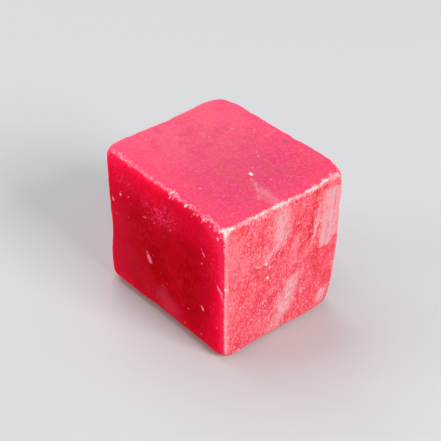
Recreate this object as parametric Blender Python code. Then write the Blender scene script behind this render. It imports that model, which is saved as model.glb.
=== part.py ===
"""A tumbled cube of ruby, about 20 mm on a side.

The stone is one solid. It starts as a cube primitive cut into a grid, and each grid point is then moved
by the formulas below: tumbling has rounded the arrises and the corners, the corners stand a little out of
square, the faces swell and dip by a tenth of a millimetre, hard knocks have left shallow scoops, and one
corner has split off flat. It stands on its flat underside with the origin below its middle, +Z up, -Y the
front and +X the right side.
"""

from typing import NamedTuple

import bmesh
import bpy
import numpy as np

MM = 0.001

# Overall size of the cube before wear.
LENGTH_X = 21.8 * MM
WIDTH_Y = 18.3 * MM
HEIGHT_Z = 19.9 * MM
HALF = np.array([LENGTH_X, WIDTH_Y, HEIGHT_Z]) / 2

# The six sides: the axis that each one faces along, and in which direction.
SIDES = {
    "left": (0, -1),
    "right": (0, 1),
    "front": (1, -1),
    "back": (1, 1),
    "bottom": (2, -1),
    "top": (2, 1),
}

# Radius that tumbling has given each arris, named by the two sides that meet there.
ARRIS_RADIUS = {
    ("front", "right"): 1.05 * MM,
    ("front", "left"): 1.4 * MM,
    ("back", "right"): 1.3 * MM,
    ("back", "left"): 2.5 * MM,
    ("top", "front"): 1.0 * MM,
    ("top", "right"): 0.8 * MM,
    ("top", "back"): 0.9 * MM,
    ("top", "left"): 1.1 * MM,
    ("bottom", "front"): 1.7 * MM,
    ("bottom", "right"): 1.55 * MM,
    ("bottom", "back"): 1.5 * MM,
    ("bottom", "left"): 1.4 * MM,
}
ARRIS_REACH = 3.0 * MM  # how far from an arris its own radius still counts
FAR_SHARE = 1e-9  # the share that every arris keeps far from them all


class Corner(NamedTuple):
    """How far a corner stands out of square, and how much rounder it is than its arrises."""

    lean: tuple
    rounding: float


CORNERS = {
    ("left", "front", "top"): Corner((0, -0.25 * MM, -0.1 * MM), 0.2 * MM),
    ("left", "back", "top"): Corner((-0.05 * MM, 0, 0.05 * MM), 0.35 * MM),
    ("right", "back", "top"): Corner((0.25 * MM, 0.3 * MM, 0.2 * MM), 0.7 * MM),
    ("right", "front", "top"): Corner((-0.1 * MM, -0.05 * MM, -0.15 * MM), 0.3 * MM),
    ("left", "front", "bottom"): Corner((0, 0.05 * MM, 0), 0),
    ("left", "back", "bottom"): Corner((0.1 * MM, -0.1 * MM, 0), 0.3 * MM),
    ("right", "back", "bottom"): Corner((0.05 * MM, -0.35 * MM, 0), 0.6 * MM),
    ("right", "front", "bottom"): Corner((-0.15 * MM, 0.3 * MM, 0), 0.2 * MM),
}
CORNER_REACH = 2.6 * MM  # how far from a corner its extra rounding still counts


class Knock(NamedTuple):
    """A scoop or a swelling: its middle, measured from the cube's, its reach, and its push at the middle."""

    place: tuple
    reach: float
    push: tuple


def knock(place, reach, push):
    """A Knock from sizes in millimetres."""
    return Knock(tuple(MM * size for size in place), reach * MM, tuple(MM * size for size in push))


KNOCKS = {
    # Along the top, from the left round the back to the right.
    "shoulder of the left top corner": knock((-10.6, -6.4, 9.6), 2.4, (-0.13, 0, 0.13)),
    "shoulder of the back top corner": knock((-10.4, 5.9, 9.7), 2.0, (-0.1, 0, 0.1)),
    "flat on the back top corner": knock((-9.6, 8.3, 9.8), 1.5, (0.06, -0.06, -0.08)),
    "step beyond the back top corner": knock((-8.0, 8.7, 9.7), 1.6, (0, 0.07, 0.07)),
    "dip in the top back arris": knock((-1.0, 9.0, 9.8), 2.2, (0, -0.05, -0.05)),
    "swelling of the top back arris": knock((4.8, 9.1, 9.8), 2.2, (0, 0.05, 0.05)),
    "shoulder of the right top corner": knock((8.4, 9.0, 9.7), 2.0, (0, 0.16, 0.16)),
    "knock on the right top corner": knock((10.3, 9.1, 8.9), 1.4, (-0.09, -0.09, -0.09)),
    "worn length of the top right arris": knock((10.9, 2.5, 9.9), 4.5, (0, 0, -0.3)),
    # Down the back right arris, and along the bottom from there to the left.
    "dip in the back right arris": knock((10.7, 8.8, 4.2), 2.4, (-0.05, -0.05, 0)),
    "swelling of the back right arris": knock((10.6, 8.7, 0.5), 3.0, (0.04, 0.04, 0)),
    "swelling of the bottom right arris": knock((10.5, 4.3, -9.3), 2.5, (0.04, 0, -0.04)),
    "lip of the bottom right arris": knock((10.4, -6.6, -9.3), 1.1, (0.05, 0, -0.05)),
    "dip in the bottom front arris": knock((-2.1, -8.7, -9.2), 1.8, (0, 0.05, 0.05)),
    "swelling of the bottom front arris": knock((-5.5, -8.7, -9.2), 2.0, (0, -0.08, -0.08)),
    # Up the front left arris.
    "foot of the front left arris": knock((-10.4, -8.9, -6.8), 2.0, (-0.08, -0.08, 0)),
    "hollow in the front left arris": knock((-10.4, -9.0, -1.3), 2.4, (0.08, 0.08, 0)),
    "ridge on the front left arris": knock((-10.4, -9.1, 4.4), 2.2, (-0.05, -0.05, 0)),
    # On the sides that face away.
    "hollow in the back": knock((3.5, 9.1, -2.0), 3.5, (0, -0.12, 0)),
    "hollow in the left side": knock((-10.9, 2.0, 3.0), 4.0, (0.14, 0, 0)),
    "scoop out of the back left arris": knock((-10.3, 8.6, -3.5), 2.2, (0.22, -0.2, 0.05)),
}

# Small nicks that tumbling has knocked into every arris.
NICKS_PER_ARRIS = 6
NICK_REACH = (0.45 * MM, 1.0 * MM)
NICK_DEPTH = (0.04 * MM, 0.16 * MM)
NICK_SPREAD = 0.9  # how much of an arris's length the nicks fall on
NICK_SEED = 20

# The corner that has split off flat: a point of the split, from the cube's middle, and the way it faces.
SPLIT_PLACE = np.array([10.27, 8.22, -7.5]) * MM
SPLIT_FACING = np.array([0.47, 0.81, -0.34])
SPLIT_WEAR = 0.12 * MM  # how far tumbling has softened the rim of the split

# Slow waves over the faces. They die out towards the underside, which stays flat.
WAVE_COUNT = 12
WAVE_HEIGHT = 0.018 * MM
WAVE_LENGTHS = (5.0 * MM, 12.0 * MM)
WAVE_SEED = 3
FLAT_BELOW = 2.0 * MM  # the height above the underside from which the waves have their full height
FLAT_WITHIN = 0.015 * MM  # what lies this close to the underside is ground flat with it

# Grid of the cube before it is shaped, with lines crowded towards the arrises, where the surface bends.
GRID_CUTS = 27
CROWDING = 0.8

RUBY_COLOUR = (0.62, 0.02, 0.06, 1.0)
RUBY_ROUGHNESS = 0.42


def depth_below(side, points):
    """How deep each point lies under the plane of a side, before wear."""
    axis, sign = SIDES[side]
    return HALF[axis] - sign * points[:, axis]


def distance_to(sides, points):
    """Distance of each point from the arris of two sides, or from the corner of three."""
    return np.sqrt(sum(depth_below(side, points) ** 2 for side in sides))


def nearness(distance, reach):
    """1 at no distance, falling smoothly to nothing past the reach."""
    return np.exp(-((distance / reach) ** 2))


def wear_radius(points):
    """The radius at each point: the arrises' radii, blended by nearness, and the corners' extra rounding."""
    total = np.zeros(len(points))
    blended = np.zeros(len(points))
    for sides, radius in ARRIS_RADIUS.items():
        share = nearness(distance_to(sides, points), ARRIS_REACH) + FAR_SHARE
        total += share
        blended += share * radius
    blended /= total
    for sides, corner in CORNERS.items():
        blended += corner.rounding * nearness(distance_to(sides, points), CORNER_REACH)
    return blended[:, None]


def rounded(points):
    """The points moved onto the rounded cube, and the direction that each one faces."""
    radius = wear_radius(points)
    inner = np.clip(points, radius - HALF, HALF - radius)
    facing = points - inner
    facing /= np.linalg.norm(facing, axis=1, keepdims=True)
    return inner + radius * facing, facing


def lean(points):
    """How far each point moves as the corners lean: a corner's share falls off across all its sides."""
    moved = np.zeros_like(points)
    for sides, corner in CORNERS.items():
        share = np.ones(len(points))
        for side in sides:
            share *= 1 - depth_below(side, points) / (2 * HALF[SIDES[side][0]])
        moved += share[:, None] * np.array(corner.lean)
    return moved


def waves(points):
    """Height of the slow waves at each point: sines that run in random directions."""
    random = np.random.default_rng(WAVE_SEED)
    height = np.zeros(len(points))
    for _ in range(WAVE_COUNT):
        direction = random.normal(size=3)
        direction /= np.linalg.norm(direction)
        length = random.uniform(*WAVE_LENGTHS)
        phase = random.uniform(0, 2 * np.pi)
        height += WAVE_HEIGHT * np.sin(points @ direction * 2 * np.pi / length + phase)
    return height


def rise(points):
    """0 on the underside and 1 from FLAT_BELOW upwards, with no kink between."""
    share = np.clip((points[:, 2] + HALF[2]) / FLAT_BELOW, 0, 1)
    return share * share * (3 - 2 * share)


def nicks():
    """The small knocks of all the arrises: random places along each one, pushed straight in."""
    random = np.random.default_rng(NICK_SEED)
    for sides in ARRIS_RADIUS:
        outward = np.zeros(3)
        for axis, sign in (SIDES[side] for side in sides):
            outward[axis] = sign
        along = 1 - np.abs(outward)
        for _ in range(NICKS_PER_ARRIS):
            place = (outward + along * random.uniform(-NICK_SPREAD, NICK_SPREAD)) * HALF
            push = -outward / np.sqrt(2) * random.uniform(*NICK_DEPTH)
            yield Knock(place, random.uniform(*NICK_REACH), push)


def knocked(points):
    """The points after the scoops, the swellings and the nicks."""
    moved = points.copy()
    for place, reach, push in (*KNOCKS.values(), *nicks()):
        distance = np.linalg.norm(points - np.array(place), axis=1)
        moved += nearness(distance, reach)[:, None] * np.array(push)
    return moved


def split(points):
    """The points with all that lies beyond the split pushed back onto its plane, softly along the rim."""
    facing = SPLIT_FACING / np.linalg.norm(SPLIT_FACING)
    height = (points - SPLIT_PLACE) @ facing
    beyond = (height + np.hypot(height, SPLIT_WEAR)) / 2
    return points - beyond[:, None] * facing


def crowd(share):
    """Moves grid coordinates from -1 to 1 towards the ends of that range."""
    return np.sin(share * np.pi / 2 * CROWDING) / np.sin(np.pi / 2 * CROWDING)


def weathered(unit_points):
    """The surface of the stone, standing on z = 0, from points of the cube from -1 to 1."""
    points, facing = rounded(crowd(unit_points) * HALF)
    points += lean(points)
    points += (waves(points) * rise(points))[:, None] * facing
    points = split(knocked(points))
    points[:, 2] += HALF[2]
    points[points[:, 2] < FLAT_WITHIN, 2] = 0
    middle = (points.min(axis=0) + points.max(axis=0)) / 2
    return points - middle * (1, 1, 0)


def ruby_material():
    """Deep red stone with a satin surface."""
    material = bpy.data.materials.new("ruby")
    material.use_nodes = True
    shader = material.node_tree.nodes["Principled BSDF"]
    shader.inputs["Base Color"].default_value = RUBY_COLOUR
    shader.inputs["Roughness"].default_value = RUBY_ROUGHNESS
    shader.inputs["Metallic"].default_value = 0.0
    material.diffuse_color = RUBY_COLOUR
    return material


def ruby_mesh():
    """A cube primitive, cut into a grid and weathered."""
    shape = bmesh.new()
    bmesh.ops.create_cube(shape, size=2.0)
    bmesh.ops.subdivide_edges(shape, edges=shape.edges[:], cuts=GRID_CUTS, use_grid_fill=True)
    grid = np.array([vertex.co for vertex in shape.verts], dtype=float)
    for vertex, place in zip(shape.verts, weathered(grid)):
        vertex.co = place
    mesh = bpy.data.meshes.new("ruby_cube")
    shape.to_mesh(mesh)
    shape.free()
    mesh.shade_smooth()
    return mesh


def main():
    """Empties the scene and builds the stone in a collection of its own."""
    for old in list(bpy.data.objects):
        bpy.data.objects.remove(old)
    collection = bpy.data.collections.new("ruby_crystal")
    bpy.context.scene.collection.children.link(collection)
    stone = bpy.data.objects.new("ruby_cube", ruby_mesh())
    stone.data.materials.append(ruby_material())
    collection.objects.link(stone)


if __name__ == "__main__":
    main()
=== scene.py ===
"""A tumbled cube of ruby, with the worn and chipped surface of the real stone, in a plain studio.

The stone's own sizes are in millimetres, because that is how such a stone is cut and described. Its form is
measured from the middle of the cube before wear, and its chips and marks from the floor, under the middle of
its outline. Millimetres become metres where the mesh is made. -Y is the front, +X the right side and +Z up.
"""

import logging
import math
from dataclasses import dataclass, field, replace
from enum import Enum
from functools import reduce
from typing import Any, Iterator

import bpy
import numpy as np
from mathutils import Matrix, Vector


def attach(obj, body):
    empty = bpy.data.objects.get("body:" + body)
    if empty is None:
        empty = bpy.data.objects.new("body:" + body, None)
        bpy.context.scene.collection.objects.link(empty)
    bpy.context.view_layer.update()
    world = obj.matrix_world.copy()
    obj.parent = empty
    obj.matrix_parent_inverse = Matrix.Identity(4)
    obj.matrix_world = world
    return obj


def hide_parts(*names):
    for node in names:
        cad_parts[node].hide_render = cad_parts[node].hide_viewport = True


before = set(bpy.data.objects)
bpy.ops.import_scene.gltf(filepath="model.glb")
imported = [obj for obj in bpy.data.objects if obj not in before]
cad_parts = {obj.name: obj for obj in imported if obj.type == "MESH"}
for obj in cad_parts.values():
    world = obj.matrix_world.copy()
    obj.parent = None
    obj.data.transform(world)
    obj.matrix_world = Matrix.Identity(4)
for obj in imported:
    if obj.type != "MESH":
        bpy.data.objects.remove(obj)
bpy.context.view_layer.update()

LOG = logging.getLogger("ruby")
MM = 0.001

Place = tuple[float, float, float]
Colour = tuple[float, float, float]
Socket = bpy.types.NodeSocket

# The colour sockets of a Mix node, which has others of the same names for numbers and vectors.
MIX_COLOURS = (6, 7)
MIX_RESULT = 2


# ---- The stone's form ----


class Side(Enum):
    """A side of the cube: the axis that it faces along, and in which direction."""

    LEFT = (0, -1)
    RIGHT = (0, 1)
    FRONT = (1, -1)
    BACK = (1, 1)
    BOTTOM = (2, -1)
    TOP = (2, 1)

    @property
    def axis(self) -> int:
        """0, 1 or 2 for X, Y or Z."""
        return self.value[0]

    @property
    def sign(self) -> int:
        """1 if the side faces along its axis, -1 if it faces the other way."""
        return self.value[1]


LEFT, RIGHT, FRONT, BACK, BOTTOM, TOP = Side


@dataclass(frozen=True)
class Arris:
    """An arris: its two sides, its radius, how frosted it is, and how strongly and how far in from it light
    is painted as shining into the stone.
    """

    sides: tuple[Side, Side]
    radius: float
    frost: float = 0.3
    glow: float = 0.35
    glow_reach: float = 2.0


@dataclass(frozen=True)
class Corner:
    """A corner: its three sides, how far it leans out of square, and how much rounder it is."""

    sides: tuple[Side, Side, Side]
    lean: Place
    rounding: float


@dataclass(frozen=True)
class Knock:
    """A scoop or a swelling: its middle, how far it reaches and how far it pushes the surface."""

    place: Place
    reach: float
    push: Place


def nearness(distance: np.ndarray, reach: float) -> np.ndarray:
    """1 at no distance, falling smoothly to nothing past the reach."""
    return np.exp(-((distance / reach) ** 2))


def smooth_step(value: np.ndarray, low: float, high: float) -> np.ndarray:
    """0 up to low and 1 from high on, with no kink between; low may be the larger."""
    share = np.clip((value - low) / (high - low), 0, 1)
    return share * share * (3 - 2 * share)


@dataclass
class TumbledCube:
    """The cube's overall form: a box with worn arrises, leaning corners, slow waves, knocks and a split.

    What an arris or a corner has of its own fades out over arris_reach or corner_reach. Nicks lie within
    nick_spread of the middle of an arris, as a share of half its length. The split is a plane through
    split_place, and split_wear is how softly its rim is worn. The waves die out below flat_below, and what
    comes out within flat_within of the floor is put on it.
    """

    length: float = 21.8
    width: float = 18.3
    height: float = 19.9
    arrises: tuple[Arris, ...] = (
        Arris((FRONT, RIGHT), 1.05, frost=0.2, glow=1.0, glow_reach=2.5),
        Arris((FRONT, LEFT), 1.4, glow_reach=3.6),
        Arris((BACK, RIGHT), 1.3),
        Arris((BACK, LEFT), 2.5),
        Arris((TOP, FRONT), 1.0, frost=0.12, glow=0.9, glow_reach=4.2),
        Arris((TOP, RIGHT), 0.8, frost=0.8, glow=0.7, glow_reach=2.6),
        Arris((TOP, BACK), 0.9, glow=0.7, glow_reach=4.0),
        Arris((TOP, LEFT), 1.1),
        Arris((BOTTOM, FRONT), 1.7, glow=0.3, glow_reach=3.0),
        Arris((BOTTOM, RIGHT), 1.55),
        Arris((BOTTOM, BACK), 1.5),
        Arris((BOTTOM, LEFT), 1.4),
    )
    arris_reach: float = 3.0
    far_share: float = 1e-9
    corners: tuple[Corner, ...] = (
        Corner((LEFT, FRONT, TOP), (0, -0.25, -0.1), 0.2),
        Corner((LEFT, BACK, TOP), (-0.05, 0, 0.05), 0.35),
        Corner((RIGHT, BACK, TOP), (0.25, 0.3, 0.2), 0.7),
        Corner((RIGHT, FRONT, TOP), (-0.1, -0.05, -0.15), 0.3),
        Corner((LEFT, FRONT, BOTTOM), (0, 0.05, 0), 0),
        Corner((LEFT, BACK, BOTTOM), (0.1, -0.1, 0), 0.3),
        Corner((RIGHT, BACK, BOTTOM), (0.05, -0.35, 0), 0.6),
        Corner((RIGHT, FRONT, BOTTOM), (-0.15, 0.3, 0), 0.2),
    )
    corner_reach: float = 2.6
    knocks: tuple[Knock, ...] = (
        # Along the top, from the left round the back to the right.
        Knock((-10.6, -6.4, 9.6), 2.4, (-0.13, 0, 0.13)),
        Knock((-10.4, 5.9, 9.7), 2.0, (-0.1, 0, 0.1)),
        Knock((-9.6, 8.3, 9.8), 1.5, (0.06, -0.06, -0.08)),
        Knock((-8.0, 8.7, 9.7), 1.6, (0, 0.07, 0.07)),
        Knock((-1.0, 9.0, 9.8), 2.2, (0, -0.05, -0.05)),
        Knock((4.8, 9.1, 9.8), 2.2, (0, 0.05, 0.05)),
        Knock((8.4, 9.0, 9.7), 2.0, (0, 0.16, 0.16)),
        Knock((10.3, 9.1, 8.9), 1.4, (-0.09, -0.09, -0.09)),
        Knock((10.9, 2.5, 9.9), 4.5, (0, 0, -0.3)),
        # Down the back right arris, and along the bottom from there to the left.
        Knock((10.7, 8.8, 4.2), 2.4, (-0.05, -0.05, 0)),
        Knock((10.6, 8.7, 0.5), 3.0, (0.04, 0.04, 0)),
        Knock((10.5, 4.3, -9.3), 2.5, (0.04, 0, -0.04)),
        Knock((10.4, -6.6, -9.3), 1.1, (0.05, 0, -0.05)),
        Knock((-2.1, -8.7, -9.2), 1.8, (0, 0.05, 0.05)),
        Knock((-5.5, -8.7, -9.2), 2.0, (0, -0.08, -0.08)),
        # Up the front left arris.
        Knock((-10.4, -8.9, -6.8), 2.0, (-0.08, -0.08, 0)),
        Knock((-10.4, -9.0, -1.3), 2.4, (0.08, 0.08, 0)),
        Knock((-10.4, -9.1, 4.4), 2.2, (-0.05, -0.05, 0)),
        # On the sides that face away.
        Knock((3.5, 9.1, -2.0), 3.5, (0, -0.12, 0)),
        Knock((-10.9, 2.0, 3.0), 4.0, (0.14, 0, 0)),
        Knock((-10.3, 8.6, -3.5), 2.2, (0.22, -0.2, 0.05)),
    )
    nicks_per_arris: int = 6
    nick_spread: float = 0.9
    nick_reach: tuple[float, float] = (0.45, 1.0)
    nick_depth: tuple[float, float] = (0.04, 0.16)
    nick_seed: int = 20
    split_place: Place = (10.27, 8.22, -7.5)
    split_facing: Place = (0.47, 0.81, -0.34)
    split_wear: float = 0.12
    wave_count: int = 12
    wave_height: float = 0.018
    wave_lengths: tuple[float, float] = (5.0, 12.0)
    wave_seed: int = 3
    flat_below: float = 2.0
    flat_within: float = 0.015

    @property
    def half(self) -> np.ndarray:
        """Half the length, width and height."""
        return np.array([self.length, self.width, self.height]) / 2

    def depth_below(self, side: Side, points: np.ndarray) -> np.ndarray:
        """How deep each point lies under the plane of a side, before wear."""
        return self.half[side.axis] - side.sign * points[:, side.axis]

    def distance_to(self, sides: tuple[Side, ...], points: np.ndarray) -> np.ndarray:
        """Distance of each point from the arris of two sides, or from the corner of three."""
        return np.sqrt(sum(self.depth_below(side, points) ** 2 for side in sides))

    def blended(self, points: np.ndarray, measures: list[float]) -> np.ndarray:
        """A measure of the arrises over the whole stone: their mean, weighted by how near each one is.

        Each arris keeps a tiny share however far away it is, so that the shares never add up to nothing.

        Args:
            points: Points of the unworn box.
            measures: The measure of each arris, in their order.

        Returns:
            The blended measure at each point.
        """
        total, blended = np.zeros((2, len(points)))
        for arris, measure in zip(self.arrises, measures):
            share = nearness(self.distance_to(arris.sides, points), self.arris_reach) + self.far_share
            total += share
            blended += share * measure
        return blended / total

    def wear_radius(self, points: np.ndarray) -> np.ndarray:
        """The radius of wear: the arrises' own, blended, and each corner's extra rounding.

        Args:
            points: Points of the unworn box.

        Returns:
            The radius at each point, as one column.
        """
        radius = self.blended(points, [arris.radius for arris in self.arrises])
        for corner in self.corners:
            radius += corner.rounding * nearness(self.distance_to(corner.sides, points), self.corner_reach)
        return radius[:, None]

    def frost(self, points: np.ndarray) -> np.ndarray:
        """How heavily each point's arrises are frosted, from 0 to 1."""
        return self.blended(points, [arris.frost for arris in self.arrises])

    def glow(self, points: np.ndarray) -> np.ndarray:
        """How strong the light painted as shining in from the arrises is: 1 less what each arris leaves
        dark, multiplied.

        Args:
            points: Points of the unworn box.

        Returns:
            The painted shine at each point, from 0 to 1.
        """
        dark = np.ones(len(points))
        for arris in self.arrises:
            dark *= 1 - arris.glow * nearness(self.distance_to(arris.sides, points), arris.glow_reach)
        return 1 - dark

    def rim(self, points: np.ndarray, facing: np.ndarray) -> np.ndarray:
        """Distance along the worn surface from the middle of the nearest arris, in millimetres.

        It is the angle still to turn to halfway between the two sides, times the radius of wear there. It
        counts up towards whichever side faces along Z, or along X where neither does, and down towards the
        other one.

        Args:
            points: Points of the unworn box.
            facing: The direction that each point faces after wear.

        Returns:
            The distance of each point.
        """
        order = np.argsort(np.abs(facing), axis=1)
        turned = np.take_along_axis(np.abs(facing), order, axis=1)
        halfway = np.pi / 4 - np.arctan2(turned[:, 1], turned[:, 2])
        rank = np.array([1, 0, 2])
        towards = np.where(rank[order[:, 2]] > rank[order[:, 1]], 1, -1)
        return towards * halfway * self.wear_radius(points)[:, 0]

    def rounded(self, points: np.ndarray) -> tuple[np.ndarray, np.ndarray]:
        """The rounded box: each point is its radius away from the nearest point of a smaller, sharp box.

        Args:
            points: Points of the unworn box.

        Returns:
            The moved points, and the direction that each one faces.
        """
        radius = self.wear_radius(points)
        inner = np.clip(points, radius - self.half, self.half - radius)
        facing = points - inner
        facing /= np.linalg.norm(facing, axis=1, keepdims=True)
        return inner + radius * facing, facing

    def lean(self, points: np.ndarray) -> np.ndarray:
        """The lean of the corners: a corner's share falls off to nothing at the far ends of its sides.

        Args:
            points: Points of the rounded box.

        Returns:
            How far each point moves.
        """
        moved = np.zeros_like(points)
        for corner in self.corners:
            share = np.ones(len(points))
            for side in corner.sides:
                share *= 1 - self.depth_below(side, points) / (2 * self.half[side.axis])
            moved += share[:, None] * np.array(corner.lean)
        return moved

    def waves(self, points: np.ndarray) -> np.ndarray:
        """Height of the slow waves: a sum of sines in random directions, flat towards the underside.

        Args:
            points: Points of the rounded box.

        Returns:
            The height to add at each point, along its own facing.
        """
        random = np.random.default_rng(self.wave_seed)
        height = np.zeros(len(points))
        for _ in range(self.wave_count):
            direction = random.normal(size=3)
            direction /= np.linalg.norm(direction)
            length = random.uniform(*self.wave_lengths)
            phase = random.uniform(0, 2 * np.pi)
            height += self.wave_height * np.sin(points @ direction * 2 * np.pi / length + phase)
        return height * smooth_step(points[:, 2] + self.half[2], 0, self.flat_below)

    def nicks(self) -> Iterator[Knock]:
        """The small knocks of all the arrises: random places along each one, pushed straight in.

        Yields:
            Each knock.
        """
        random = np.random.default_rng(self.nick_seed)
        for arris in self.arrises:
            outward = np.zeros(3)
            for side in arris.sides:
                outward[side.axis] = side.sign
            along = 1 - np.abs(outward)
            for _ in range(self.nicks_per_arris):
                place = (outward + along * random.uniform(-self.nick_spread, self.nick_spread)) * self.half
                push = -outward / np.sqrt(2) * random.uniform(*self.nick_depth)
                yield Knock(tuple(place), random.uniform(*self.nick_reach), tuple(push))

    def knocked(self, points: np.ndarray) -> np.ndarray:
        """Scoops, swellings and nicks: each pushes the points near it, by a share that fades over its reach.

        Args:
            points: The stone's surface.

        Returns:
            The moved points.
        """
        moved = points.copy()
        for knock in (*self.knocks, *self.nicks()):
            distance = np.linalg.norm(points - np.array(knock.place), axis=1)
            moved += nearness(distance, knock.reach)[:, None] * np.array(knock.push)
        return moved

    def split(self, points: np.ndarray) -> np.ndarray:
        """The split: all that lies beyond its plane is pushed back onto it, softly along the rim.

        Args:
            points: The stone's surface.

        Returns:
            The moved points.
        """
        facing = np.array(self.split_facing) / np.linalg.norm(self.split_facing)
        height = (points - np.array(self.split_place)) @ facing
        beyond = (height + np.hypot(height, self.split_wear)) / 2
        return points - beyond[:, None] * facing

    def surface(self, unit_points: np.ndarray) -> tuple[np.ndarray, np.ndarray]:
        """The stone's surface, standing on z = 0 with its outline centred, in millimetres.

        Args:
            unit_points: Points of the cube from -1 to 1.

        Returns:
            The surface's points, and the direction that each one faces.
        """
        points, facing = self.rounded(unit_points * self.half)
        points += self.lean(points)
        points += self.waves(points)[:, None] * facing
        points = self.split(self.knocked(points))
        points[:, 2] += self.half[2]
        points[points[:, 2] < self.flat_within, 2] = 0
        middle = (points.min(axis=0) + points.max(axis=0)) / 2
        return points - middle * (1, 1, 0), facing


@dataclass(frozen=True)
class Chip:
    """A round-bottomed break: its place, half the width of its rim, its depth, and whether it is frosted."""

    place: Place
    half_width: float
    depth: float
    frosted: bool = True


@dataclass
class Breakage:
    """The fine chips that tumbling has flaked off the arrises, and the pits that it left in the sides.

    A chip's depth is its half width times depth_share, times a random number in depth_spread. It may lie
    where the surface has turned from a side by more than least_turn_of_arris, and a pit where it has turned
    by less than most_turn_of_side. A break is fully frosted where it took off more than fresh_within.
    """

    arris_chips: int = 620
    arris_chip_half_width: tuple[float, float] = (0.1, 0.36)
    side_pits: int = 160
    side_pit_half_width: tuple[float, float] = (0.08, 0.2)
    width_power: float = 3.0
    depth_share: float = 0.22
    depth_spread: tuple[float, float] = (0.6, 1.2)
    least_turn_of_arris: float = 0.55
    most_turn_of_side: float = 0.2
    fresh_within: float = 0.04
    placed: tuple[Chip, ...] = (
        # The arris between the top and the front, from the left.
        Chip((-6.1, -9.1, 19.5), 0.38, 0.1),
        Chip((-3.3, -9.0, 19.5), 0.36, 0.08),
        Chip((-1.6, -9.0, 19.5), 0.34, 0.08),
        Chip((1.1, -8.8, 19.7), 0.42, 0.12),
        Chip((1.6, -9.1, 19.4), 0.34, 0.1),
        Chip((2.7, -9.0, 19.5), 0.3, 0.08),
        Chip((3.9, -9.0, 19.5), 0.4, 0.11),
        Chip((7.1, -9.1, 19.4), 0.38, 0.1),
        Chip((9.2, -9.1, 19.2), 0.34, 0.1),
        Chip((10.2, -8.7, 19.3), 0.5, 0.12),
        # The pit with the crack in the right side, and the knocks on its lower arris.
        Chip((10.9, -3.5, 11.9), 0.5, 0.16, frosted=False),
        Chip((10.9, -2.9, 11.1), 0.4, 0.12, frosted=False),
        Chip((10.7, -6.8, 1.0), 0.5, 0.14),
        Chip((10.95, 3.5, 1.6), 0.35, 0.1),
        # The front side.
        Chip((-3.0, -9.2, 8.2), 0.28, 0.05, frosted=False),
        Chip((-2.8, -9.2, 7.7), 0.3, 0.06, frosted=False),
        Chip((-9.2, -9.4, 12.9), 0.4, 0.1, frosted=False),
        Chip((-7.9, -9.35, 14.4), 0.25, 0.07),
    )
    seed: int = 5

    def scattered(self, points: np.ndarray, facing: np.ndarray) -> Iterator[tuple[np.ndarray, Chip]]:
        """Random chips on the arrises and pits on the sides.

        A random share of the range of widths is raised to a power, so that narrow ones are the commonest.

        Args:
            points: The stone's surface.
            facing: The direction that each point faces.

        Yields:
            The direction that the surface faces at the chip, and the chip.
        """
        random = np.random.default_rng(self.seed)
        turned = turn_from_side(facing)
        raised = points[:, 2] > self.side_pit_half_width[1]
        kinds = (
            (self.arris_chips, self.arris_chip_half_width, turned > self.least_turn_of_arris),
            (self.side_pits, self.side_pit_half_width, turned < self.most_turn_of_side),
        )
        for count, (least, most), allowed in kinds:
            for index in random.choice(np.flatnonzero(raised & allowed), count, replace=False):
                half_width = least + (most - least) * random.uniform() ** self.width_power
                depth = half_width * self.depth_share * random.uniform(*self.depth_spread)
                yield facing[index], Chip(tuple(points[index]), half_width, depth)

    def break_off(self, points: np.ndarray, facing: np.ndarray) -> tuple[np.ndarray, np.ndarray]:
        """The surface after the breaks. Each one takes away what lies inside a ball that dips into it.

        A ball of radius (w * w + d * d) / (2 * d) that reaches d deep cuts a rim of half width w.

        Args:
            points: The stone's surface.
            facing: The direction that each point faces.

        Returns:
            The broken surface, and how freshly each point is broken, from 0 to 1.
        """
        moved = points.copy()
        broken = np.zeros(len(points))
        for outward, chip in (*self.scattered(points, facing), *self.known(points, facing)):
            radius = (chip.half_width**2 + chip.depth**2) / (2 * chip.depth)
            middle = np.array(chip.place) + outward * (radius - chip.depth)
            away = moved - middle
            distance = np.linalg.norm(away, axis=1)
            inside = distance < radius
            away[inside] *= (radius / distance[inside])[:, None]
            moved[inside] = middle + away[inside]
            if chip.frosted:
                fresh = smooth_step(distance[inside], radius, radius - self.fresh_within)
                broken[inside] = np.maximum(broken[inside], fresh)
        on_floor = points[:, 2] == 0
        moved[on_floor] = points[on_floor]
        broken[on_floor] = 0
        return moved, broken

    def known(self, points: np.ndarray, facing: np.ndarray) -> Iterator[tuple[np.ndarray, Chip]]:
        """The placed chips, each moved onto the nearest point of the surface.

        Args:
            points: The stone's surface.
            facing: The direction that each point faces.

        Yields:
            The direction that the surface faces at the chip, and the chip.
        """
        for chip in self.placed:
            nearest = np.argmin(np.linalg.norm(points - np.array(chip.place), axis=1))
            yield facing[nearest], replace(chip, place=tuple(points[nearest]))


def turn_from_side(facing: np.ndarray) -> np.ndarray:
    """0 where the surface faces as a side does, rising to 1 in the middle of an arris."""
    return np.clip((1 - np.abs(facing).max(axis=1)) / (1 - math.sqrt(0.5)), 0, 1)


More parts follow.
